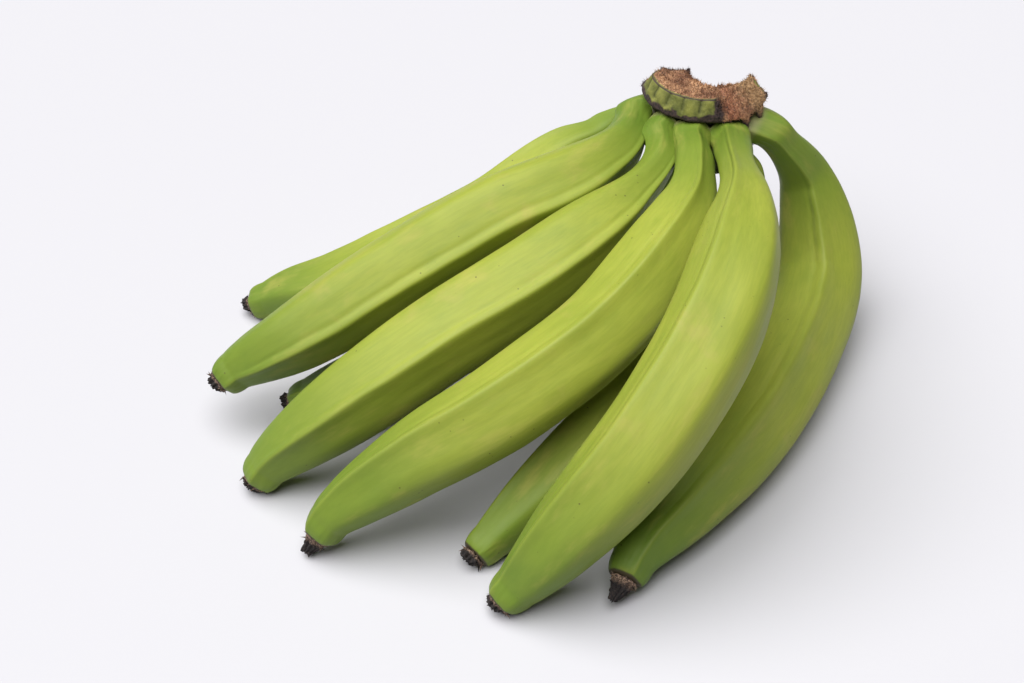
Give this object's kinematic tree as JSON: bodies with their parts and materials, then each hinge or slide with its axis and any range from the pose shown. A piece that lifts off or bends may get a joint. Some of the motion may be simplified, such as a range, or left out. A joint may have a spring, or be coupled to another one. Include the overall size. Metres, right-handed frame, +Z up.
{
  "type": "bunch of bananas",
  "caption": "Hand of green cooking bananas joined at a cut, fibrous crown, lying on its fingertips with the outer curve of the fruit upwards; food to be picked, displayed or carried.",
  "frame": {"origin": "on the table, under the middle of the hand's bounding box", "axes": "+Z up from the table; +X towards the far bulge of finger_upper_5, along the longest side of the bounding box; -Y towards the tips of finger_upper_4 and finger_lower_3; the crown is up at +X +Y"},
  "size_m": [0.3274, 0.2636, 0.1406],
  "materials": {
    "green_skin": "satin",
    "cut_crown": "matt",
    "dried_flower": "matt"
  },
  "bodies": {
    "root": {"crown": "cut_crown", "finger_upper_1": "green_skin", "finger_upper_2": "green_skin", "finger_upper_3": "green_skin", "finger_upper_4": "green_skin", "finger_upper_5": "green_skin", "finger_lower_1": "green_skin", "finger_lower_2": "green_skin", "finger_lower_3": "green_skin", "flower_upper_1": "dried_flower", "flower_upper_2": "dried_flower", "flower_upper_3": "dried_flower", "flower_upper_4": "dried_flower", "flower_upper_5": "dried_flower", "flower_lower_1": "dried_flower", "flower_lower_2": "dried_flower", "flower_lower_3": "dried_flower"}
  },
  "joints": []
}
